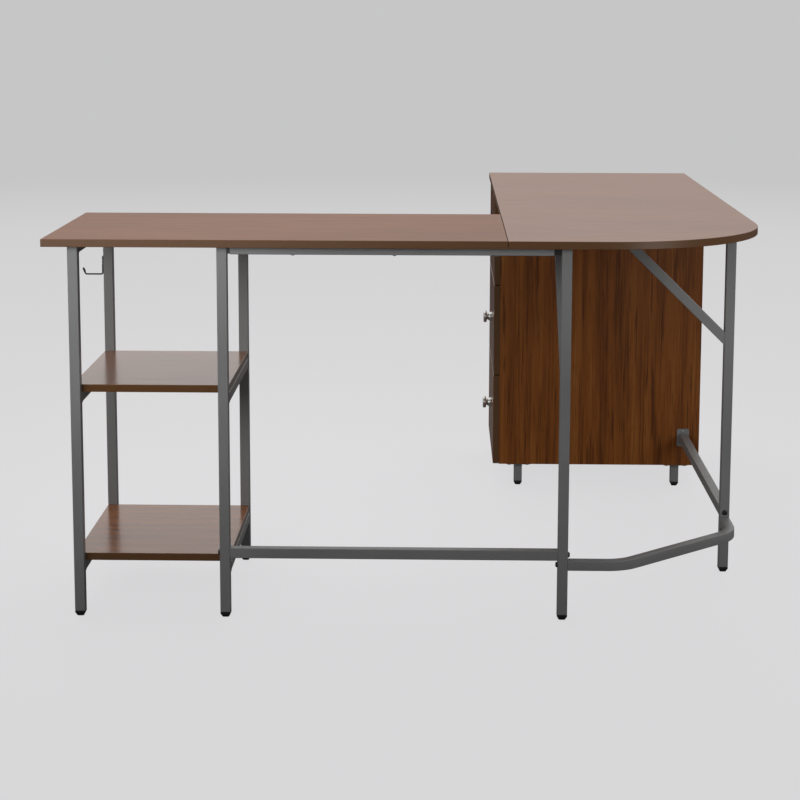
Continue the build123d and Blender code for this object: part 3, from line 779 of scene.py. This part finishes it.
@dataclass
class FastenerFitter:
    """Sets detailed screws and bolts where the frame's plain ones are."""

    paint: Paintbox
    sides: int = 24
    recess_radius: float = 0.52
    recess_depth: float = 0.6

    def __post_init__(self) -> None:
        """Builds the shared heads, shank and placing rule."""
        self.heads = {kind: self._head(kind) for kind in Recess}
        self.shank = self._shank()
        self.rule = self._rule()

    def fit(self, node: bpy.types.Object, body: str, slot: str, recess: Recess) -> None:
        """Replaces one node's plain fasteners.

        Args:
            node: the frame node.
            body: the body that it rides on.
            slot: the record's slot of its metal.
            recess: the drive in each head.
        """
        found = [Fastener.measure(points) for points in solid_points(node)]
        self.place(node.name + "_fitted", found, body, slot, recess, [node.name])

    def place(
        self,
        name: str,
        found: Sequence[Fastener],
        body: str,
        slot: str,
        recess: Recess,
        stands_for: Sequence[str] = (),
    ) -> None:
        """Sets a head and a shank at each of some places.

        Args:
            name: the finished piece's name.
            found: the fasteners to set.
            body: the body that they ride on.
            slot: the record's slot of their metal.
            recess: the drive in each head.
            stands_for: frame nodes that they replace.
        """
        mesh = bpy.data.meshes.new(name + "_places")
        mesh.from_pydata([f.seat for f in found], [], [])
        ways = mesh.attributes.new("way", "FLOAT_VECTOR", "POINT")
        for i, fastener in enumerate(found):
            ways.data[i].vector = fastener.way
        for label in SIZES:
            values = mesh.attributes.new(label, "FLOAT", "POINT")
            for i, fastener in enumerate(found):
                values.data[i].value = getattr(fastener.size, label)
        places = object_from(name + "_places", mesh)
        values = {"Head": self.heads[recess], "Shank": self.shank, "Material": self.paint.slot(slot)}
        finish_piece(self.rule.apply(places, name, values), body, stands_for)

    def remove_patterns(self) -> None:
        """Takes the shared heads and shank out of the scene."""
        for pattern in [*self.heads.values(), self.shank]:
            bpy.data.objects.remove(pattern)

    def _outline(self, kind: Recess) -> list[tuple[float, float]]:
        """Returns the twelve corners of a recess, within its radius."""
        size = self.recess_radius
        if kind is not Recess.CROSS:
            flat = size * math.cos(math.radians(30)) if kind is Recess.HEX else size
            steps = [(flat if i % 2 else size, math.radians(30 * i)) for i in range(12)]
            return [(r * math.cos(a), r * math.sin(a)) for r, a in steps]
        arm = size * math.cos(math.radians(15))
        half = size * math.sin(math.radians(15))
        quarter = [(arm, half), (half * 1.25, half * 1.25), (half, arm)]
        quarters = ((1, 0), (0, 1), (-1, 0), (0, -1))
        return [(x * c - y * s, x * s + y * c) for c, s in quarters for x, y in quarter]

    def _head(self, kind: Recess) -> bpy.types.Object:
        """Builds a head of radius 1 and height 1 that hangs below its bearing face."""
        build = bmesh.new()
        outline = self._outline(kind)
        turn = math.atan2(outline[0][1], outline[0][0])
        rings = []
        for radius, z in ((1.0, 0.0), (1.0, -0.30), (0.93, -0.62), (0.78, -0.88), (0.62, -1.0)):
            angles = (turn + 2 * math.pi * i / self.sides for i in range(self.sides))
            rings.append([build.verts.new((radius * math.cos(a), radius * math.sin(a), z)) for a in angles])
        for high, low in zip(rings, rings[1:]):
            for i in range(self.sides):
                j = (i + 1) % self.sides
                build.faces.new((high[i], high[j], low[j], low[i]))
        rim = [build.verts.new((x, y, -1.0)) for x, y in outline]
        depth = 0.0 if kind is Recess.NONE else self.recess_depth
        floor = [build.verts.new((x * 0.8, y * 0.8, depth - 1.0)) for x, y in outline]
        last = rings[-1]
        for i in range(12):
            j = (i + 1) % 12
            build.faces.new((last[2 * i], last[2 * i + 1], rim[i]))
            build.faces.new((last[2 * i + 1], last[(2 * i + 2) % self.sides], rim[j], rim[i]))
            build.faces.new((rim[i], rim[j], floor[j], floor[i]))
        build.faces.new(floor)
        build.faces.new(rings[0])
        return built(f"{kind.value}_head", build, smooth=False)

    def _shank(self) -> bpy.types.Object:
        """Builds a shank of radius 1 and length 1 with a tapered tip."""
        build = bmesh.new()
        profile = [(1.0, 0.0), (1.0, 0.82), (0.75, 0.93), (0.35, 1.0)]
        lathe(build, Vector((0, 0, 0)), Vector((0, 0, 1)), profile, 16)
        return built("fastener_shank", build)

    def _rule(self) -> GeometryRule:
        """Builds the tree that sets a head and a shank on every point."""
        kinds = {"Head": "NodeSocketObject", "Shank": "NodeSocketObject", "Material": "NodeSocketMaterial"}
        rule = GeometryRule("set_fasteners", kinds)
        pad = rule.pad

        def named(label: str, kind: str = "FLOAT") -> bpy.types.NodeSocket:
            return pad.add("GeometryNodeInputNamedAttribute", {"Name": label}, data_type=kind).outputs[0]

        way = {"Vector": named("way", "FLOAT_VECTOR")}
        turn = pad.add("FunctionNodeAlignRotationToVector", way, axis="Z")
        sets = []
        for label, wide, deep in (("Head", "head", "drop"), ("Shank", "shank", "length")):
            pattern = pad.add("GeometryNodeObjectInfo", {"Object": rule.start[label]}).outputs["Geometry"]
            scale = {0: named(wide), 1: named(wide), 2: named(deep)}
            values = {
                "Points": rule.start["Geometry"],
                "Instance": pattern,
                "Rotation": turn.outputs[0],
                "Scale": pad.add("ShaderNodeCombineXYZ", scale).outputs[0],
            }
            sets.append(pad.add("GeometryNodeInstanceOnPoints", values).outputs[0])
        both = pad.add("GeometryNodeJoinGeometry")
        for socket in sets:
            pad.tree.links.new(socket, both.inputs[0])
        rule.close(both.outputs[0])
        return rule


# ---------------------------------------------------------------- steel frame
@dataclass
class SteelFrame:
    """The welded tube frame: its bent foot rail, weld beads and hook tip."""

    paint: Paintbox
    tube_corner: float = 1.8 * MM
    bend_radius: float = 80 * MM
    front_run: float = 107 * MM
    side_run: float = 99 * MM
    wall_plate: float = 3 * MM
    leg_plate: float = 2 * MM
    bead: float = 1.1 * MM
    bead_step: float = 2.2 * MM
    tip_radius: float = 2.3 * MM
    tip_length: float = 10 * MM
    tip_overhang: float = 1.5 * MM
    tip_lean: float = 0.4
    tip_zone: float = 7 * MM

    def build(self, nodes: dict[str, bpy.types.Object]) -> None:
        """Builds every added piece of the frame.

        Args:
            nodes: the frame's objects by name.
        """
        self.foot_rail()
        self.weld_beads(nodes)
        self.hook_tip(nodes["bag_hook"])

    def foot_rail(self) -> None:
        """Sweeps the bent foot rail from the corner front leg to the corner side leg."""
        front = node_box("corner_front_leg")
        side = node_box("corner_side_leg")
        rail = node_box("corner_foot_rail")
        width = rail[1].z - rail[0].z
        z = (rail[0].z + rail[1].z) / 2
        y = centre_of(front).y
        x = centre_of(side).x
        path = [
            Vector((front[1].x, y, z)),
            Vector((front[1].x + self.front_run, y, z)),
            Vector((x, side[0].y - self.side_run, z)),
            Vector((x, side[0].y, z)),
        ]
        mesh = bpy.data.meshes.new("foot_rail_path")
        mesh.from_pydata(path, [(0, 1), (1, 2), (2, 3)], [])
        rule = self._tube_rule()
        values = {
            "Width": width,
            "Corner": self.tube_corner,
            "Bend radius": self.bend_radius,
            "Material": self.paint.slot("grey_powder_coat"),
        }
        piece = rule.apply(object_from("foot_rail_path", mesh), "foot_rail_tube", values)
        finish_piece(piece, "desk", ["corner_foot_rail"])

    def _tube_rule(self) -> GeometryRule:
        """Builds the tree that sweeps a rounded square along a path with filleted corners."""
        kinds = {label: "NodeSocketFloat" for label in ("Width", "Corner", "Bend radius")}
        rule = GeometryRule("bend_tube", {**kinds, "Material": "NodeSocketMaterial"})
        pad, start = rule.pad, rule.start
        path = pad.add("GeometryNodeMeshToCurve", {0: start["Geometry"]}).outputs[0]
        bend = {"Curve": path, "Radius": start["Bend radius"], "Count": 14}
        bent = pad.add("GeometryNodeFilletCurve", bend, mode="POLY")
        sides = {"Width": start["Width"], "Height": start["Width"]}
        square = pad.add("GeometryNodeCurvePrimitiveQuadrilateral", sides)
        corner = {"Curve": square.outputs[0], "Radius": start["Corner"], "Count": 4}
        section = pad.add("GeometryNodeFilletCurve", corner, mode="POLY")
        values = {"Curve": bent.outputs[0], "Profile Curve": section.outputs[0], "Fill Caps": True}
        rule.close(pad.add("GeometryNodeCurveToMesh", values).outputs[0])
        return rule

    def weld_beads(self, nodes: dict[str, bpy.types.Object]) -> None:
        """Lays a small weld bead round the ends of the welded rails.

        Args:
            nodes: the frame's objects by name.
        """
        rails = ("outer_frame_rails", "inner_frame_rails", "corner_top_rails", "side_stretcher")
        loops: list[list[Vector]] = []
        for name in (*rails, "cabinet_legs"):
            for points in solid_points(nodes[name]):
                loops += self._end_loops(box_of(points), name)
        corners = [corner for loop in loops for corner in loop]
        edges = [(4 * i + k, 4 * i + (k + 1) % 4) for i in range(len(loops)) for k in range(4)]
        mesh = bpy.data.meshes.new("weld_lines")
        mesh.from_pydata(corners, edges, [])
        values = {"Bead": self.bead, "Material": self.paint.slot("grey_powder_coat")}
        piece = self._bead_rule().apply(object_from("weld_lines", mesh), "weld_beads", values)
        finish_piece(piece, "desk")

    def _end_loops(self, box: Box, name: str) -> list[list[Vector]]:
        """Returns the square outline at each welded end of one rail.

        The side stretcher is welded to its plate at the cabinet only, and a cabinet leg to its
        plate at the top.
        """
        leg = node_box("corner_front_leg")
        tube = leg[1].x - leg[0].x
        middle = centre_of(box)
        k = long_way(box)
        ends = [box[0][k], box[1][k]]
        half = [(box[1][i] - box[0][i]) / 2 for i in range(3)]
        if name == "side_stretcher":
            ends = [box[1][k] - self.wall_plate]
            half = [tube / 2, 0, tube / 2]
        if name == "cabinet_legs":
            k = 2
            ends = [box[1].z - self.leg_plate]
            half = [tube / 2, tube / 2, 0]
        a, b = [i for i in range(3) if i != k]
        loops = []
        for end in ends:
            loop = []
            for sa, sb in ((-1, -1), (1, -1), (1, 1), (-1, 1)):
                corner = middle.copy()
                corner[k] = end
                corner[a] += sa * half[a]
                corner[b] += sb * half[b]
                loop.append(corner)
            loops.append(loop)
        return loops

    def _bead_rule(self) -> GeometryRule:
        """Builds the tree that runs an uneven round bead along each loop."""
        rule = GeometryRule("lay_weld", {"Bead": "NodeSocketFloat", "Material": "NodeSocketMaterial"})
        pad, start = rule.pad, rule.start
        lines = pad.add("GeometryNodeMeshToCurve", {0: start["Geometry"]}).outputs[0]
        steps = {"Curve": lines, "Length": self.bead_step}
        even = pad.add("GeometryNodeResampleCurve", steps, mode="LENGTH").outputs[0]
        place = pad.add("GeometryNodeInputPosition").outputs[0]
        lumps = pad.spread(pad.noise(place, 420.0, 1.0), 0.3, 0.7, 0.7, 1.25)
        section = pad.add("GeometryNodeCurvePrimitiveCircle", {"Radius": start["Bead"], "Resolution": 6})
        values = {"Curve": even, "Profile Curve": section.outputs[0], "Scale": lumps}
        tube = pad.add("GeometryNodeCurveToMesh", values).outputs[0]
        rule.close(pad.add("GeometryNodeSetShadeSmooth", {0: tube}).outputs[0])
        return rule

    def hook_tip(self, hook: bpy.types.Object) -> None:
        """Pushes a soft black tip over the free end of the bag hook.

        Args:
            hook: the hook's node.
        """
        box = node_box("bag_hook")
        rising = [v.co for v in hook.data.vertices if v.co.x < box[0].x + self.tip_zone]
        top = max(v.z for v in rising)
        end = centre_of(box_of(v for v in rising if v.z > top - self.tip_overhang))
        end.y = centre_of(box).y
        way = Vector((-self.tip_lean, 0.0, 1.0)).normalized()
        shape = ((0.86, 0.0), (1.0, 0.08), (1.0, 0.76), (0.8, 0.92), (0.4, 1.0))
        profile = [(r * self.tip_radius, along * self.tip_length) for r, along in shape]
        build = bmesh.new()
        lathe(build, end - way * (self.tip_length - self.tip_overhang), way, profile, 20)
        piece = built("hook_tip", build)
        self.paint.dress(piece, self.paint.slot("black_plastic"))
        finish_piece(piece, "desk")


# ---------------------------------------------------------------- drawers
@dataclass
class DrawerSet:
    """The drawers' turned knobs, and the small screws and nails of the cabinet."""

    paint: Paintbox
    fitter: FastenerFitter
    sides: int = 48
    nail_pitch: float = 90 * MM
    nail_inset: float = 6 * MM
    runner_web: float = 1.2 * MM
    runner_holes: tuple[float, ...] = (0.08, 0.5, 0.9)
    front_screw_inset: float = 70 * MM
    profile: tuple[tuple[float, float], ...] = (
        (0.80, 0.000),
        (0.83, 0.010),
        (0.83, 0.050),
        (0.79, 0.075),
        (0.735, 0.12),
        (0.70, 0.28),
        (0.70, 0.38),
        (0.67, 0.42),
        (0.56, 0.45),
        (0.53, 0.48),
        (0.53, 0.55),
        (0.60, 0.59),
        (0.88, 0.62),
        (0.97, 0.65),
        (1.00, 0.70),
        (1.00, 0.88),
        (0.985, 0.94),
        (0.94, 0.98),
        (0.86, 1.000),
        (0.30, 1.000),
    )

    def build(self) -> None:
        """Builds every added piece of the drawers."""
        for name in DRAWERS:
            self.knob(name)
        self.back_nails()
        self.runner_screws()
        for name in DRAWERS:
            self.front_screws(name)

    def back_nails(self) -> None:
        """Nails the hardboard back into the edges of the cabinet's sides and bottom."""
        low, high = node_box("cabinet_back")
        ys = self._evenly(low.y + self.nail_inset, high.y - self.nail_inset)
        zs = self._evenly(low.z + self.nail_inset, high.z - self.nail_inset)
        rows = [(y, z) for z in (zs[0], zs[-1]) for y in ys]
        rows += [(y, z) for y in (ys[0], ys[-1]) for z in zs[1:-1]]
        nails = [Fastener(Vector((high.x, y, z)), Vector((-1, 0, 0)), NAIL) for y, z in rows]
        self.fitter.place("back_panel_nails", nails, "desk", "zinc_steel", Recess.NONE)

    def runner_screws(self) -> None:
        """Screws each fixed runner channel to its side panel."""
        screws = []
        near = node_box("cabinet_near_side")[1].y
        far = node_box("cabinet_far_side")[0].y
        for points in solid_points(bpy.data.objects["runner_channels"]):
            low, high = box_of(points)
            on_near = abs(low.y - near) < abs(high.y - far)
            way = Vector((0, -1 if on_near else 1, 0))
            web = (low.y if on_near else high.y) - way.y * self.runner_web
            z = (low.z + high.z) / 2
            for part in self.runner_holes:
                x = low.x + part * (high.x - low.x)
                screws.append(Fastener(Vector((x, web, z)), way, RUNNER_SCREW))
        self.fitter.place("runner_screws", screws, "desk", "zinc_steel", Recess.CROSS)

    def front_screws(self, name: str) -> None:
        """Screws a drawer's front to its box from inside, beside the knob's screw.

        Args:
            name: which drawer it is.
        """
        front = node_box(f"{name}_drawer_front")
        knob = centre_of(node_box(f"{name}_drawer_knob"))
        side = node_box(f"{name}_drawer_sides")
        screws = [
            Fastener(Vector((front[1].x, y, knob.z)), Vector((-1, 0, 0)), FRONT_SCREW)
            for y in (side[0].y + self.front_screw_inset, side[1].y - self.front_screw_inset)
        ]
        self.fitter.place(f"{name}_front_screws", screws, f"{name}_drawer", "zinc_steel", Recess.CROSS)

    def _evenly(self, start: float, end: float) -> list[float]:
        """Returns places from start to end, about a nail's pitch apart."""
        gaps = max(1, round((end - start) / self.nail_pitch))
        return [start + (end - start) * i / gaps for i in range(gaps + 1)]

    def knob(self, name: str) -> None:
        """Turns the knob of one drawer.

        Args:
            name: which drawer it is on.
        """
        node = f"{name}_drawer_knob"
        box = node_box(node)
        middle = centre_of(box)
        radius = (box[1].y - box[0].y) / 2
        length = box[1].x - box[0].x
        build = bmesh.new()
        turned = [(radius * r, length * along) for r, along in self.profile]
        lathe(build, Vector((box[1].x, middle.y, middle.z)), Vector((-1, 0, 0)), turned, self.sides)
        piece = built(f"{name}_knob_turned", build)
        self.paint.dress(piece, self.paint.slot("satin_knob_metal"))
        finish_piece(piece, f"{name}_drawer", [node])


# ---------------------------------------------------------------- studio
@dataclass
class Studio:
    """A pale floor, soft lamps and the camera."""

    backdrop: Colour = (0.565, 0.565, 0.568)
    # colour of the floor's painted light near the middle, lighter than the far floor
    near_floor_painted_glow: Colour = (0.780, 0.772, 0.786)
    floor_reach: float = 60.0
    floor_sheet: float = 4 * MM
    floor_bounce: float = 0.06
    shadow: float = 0.16
    tint: Colour = (1.0, 0.99, 0.98)
    front_light: float = 0.10
    back_light: float = 0.95
    camera_place: tuple[float, float, float] = (0.0583, -4.3329, 1.1932)
    camera_turn: float = -0.02175
    camera_dip: float = 0.1436
    camera_roll: float = 0.0022
    lens: float = 85.6
    rise: float = -0.15

    def build(self) -> None:
        """Sets up the whole studio."""
        bpy.context.scene.view_settings.view_transform = "Standard"
        self.world()
        self.floor()
        self.lamps()
        self.camera()

    def world(self) -> None:
        """Shows a plain backdrop, and lights the desk more from behind than from the front."""
        world = bpy.data.worlds.new("studio")
        world.use_nodes = True
        pad = Wiring(world.node_tree)
        way = pad.add("ShaderNodeTexCoord").outputs["Generated"]
        split = pad.add("ShaderNodeSeparateXYZ", {0: way}).outputs
        level = pad.spread(split[Way.Y.value], -0.5, 0.7, self.front_light, self.back_light)
        soft = pad.add("ShaderNodeBackground", {"Color": (*self.tint, 1.0), "Strength": level})
        plain = pad.add("ShaderNodeBackground", {"Color": (*self.backdrop, 1.0), "Strength": 1.0})
        seen = pad.add("ShaderNodeLightPath").outputs["Is Camera Ray"]
        both = pad.add("ShaderNodeMixShader", {0: seen, 1: soft.outputs[0], 2: plain.outputs[0]})
        pad.add("ShaderNodeOutputWorld", {"Surface": both.outputs[0]})
        bpy.context.scene.world = world

    def floor(self) -> None:
        """Lays a wide pale floor that glows to the camera, with painted light that is brighter near the
        middle and fades into the backdrop; it takes a faint shadow.
        """
        build = bmesh.new()
        profile = [(self.floor_reach, 0.0), (self.floor_reach, self.floor_sheet)]
        lathe(build, Vector((0, 0, -self.floor_sheet)), Vector((0, 0, 1)), profile, 96)
        piece = built("studio_floor", build, smooth=False)
        material, pad, surface = shader("studio_floor")
        surface.inputs["Base Color"].default_value = (0.70, 0.70, 0.70, 1.0)
        surface.inputs["Roughness"].default_value = 0.85
        surface.inputs["Specular IOR Level"].default_value = 0.1
        place = pad.add("ShaderNodeTexCoord").outputs["Object"]
        away = pad.add("ShaderNodeVectorMath", {0: place}, operation="LENGTH").outputs["Value"]
        # painted light: the floor's glow is lighter near the middle and fades to the backdrop's colour
        # farther out; only the camera sees it at full strength
        tone = pad.blend(pad.spread(away, 0.5, 9.0), self.near_floor_painted_glow, self.backdrop)
        seen = pad.add("ShaderNodeLightPath").outputs["Is Camera Ray"]
        level = pad.spread(seen, 0, 1, self.floor_bounce, 1.0)
        glow = pad.add("ShaderNodeEmission", {"Color": tone, "Strength": level})
        bright = pad.spread(away, 2.0, 6.0, 1.0 - self.shadow, 1.0)
        mixed = pad.add("ShaderNodeMixShader", {0: bright, 1: surface.outputs[0], 2: glow.outputs[0]})
        output = next(n for n in pad.tree.nodes if n.type == "OUTPUT_MATERIAL")
        pad.join(mixed.outputs[0], output, "Surface")
        piece.data.materials.append(material)

    def lamps(self) -> None:
        """Hangs three large soft lamps."""
        spots = {
            "key": ((-1.0, -2.2, 1.25), (-0.5, -0.4, 0.9), 1.0, 75.0, 4.6),
            "fill": ((1.5, -1.9, 0.95), (0.5, 0.3, 0.5), 1.0, 75.0, 2.2),
            "top": ((0.0, 0.9, 2.9), (0.0, 0.0, 0.5), 2.6, 180.0, 16.0),
        }
        for name, (place, target, size, spread, power) in spots.items():
            lamp = bpy.data.lights.new(name, "AREA")
            lamp.shape = "SQUARE"
            lamp.size = size
            lamp.energy = power
            lamp.spread = math.radians(spread)
            obj = bpy.data.objects.new(name, lamp)
            obj.location = place
            aim = Vector(target) - Vector(place)
            obj.rotation_euler = aim.to_track_quat("-Z", "Y").to_euler()
            bpy.context.scene.collection.objects.link(obj)

    def camera(self) -> None:
        """Places the camera in front of the desk, looking slightly down."""
        data = bpy.data.cameras.new("camera")
        data.sensor_width = 36.0
        data.lens = self.lens
        data.shift_y = self.rise
        obj = bpy.data.objects.new("camera", data)
        level = math.cos(self.camera_dip)
        drop = -math.sin(self.camera_dip)
        aim = Vector((math.sin(self.camera_turn) * level, math.cos(self.camera_turn) * level, drop))
        turn = aim.to_track_quat("-Z", "Y") @ Quaternion((0, 0, 1), self.camera_roll)
        obj.matrix_world = Matrix.Translation(self.camera_place) @ turn.to_matrix().to_4x4()
        bpy.context.scene.collection.objects.link(obj)
        bpy.context.scene.camera = obj


def main() -> None:
    """Builds the desk's looks from the frame."""
    logging.basicConfig(level=logging.INFO, format="%(name)s: %(message)s")
    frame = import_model()
    nodes = frame["nodes"]
    paint = Paintbox()
    paint.dress_frame(nodes, frame["record"])
    fitter = FastenerFitter(paint)
    for name in ("top_board_screws", "shelf_screws", "plate_screws"):
        fitter.fit(nodes[name], "desk", "zinc_steel", Recess.CROSS)
    fitter.fit(nodes["frame_bolts"], "desk", "black_steel", Recess.HEX)
    for name in DRAWERS:
        fitter.fit(nodes[f"{name}_drawer_knob_screw"], f"{name}_drawer", "zinc_steel", Recess.CROSS)
    SteelFrame(paint).build(nodes)
    DrawerSet(paint, fitter).build()
    fitter.remove_patterns()
    Studio().build()


if __name__ == "__main__":
    main()
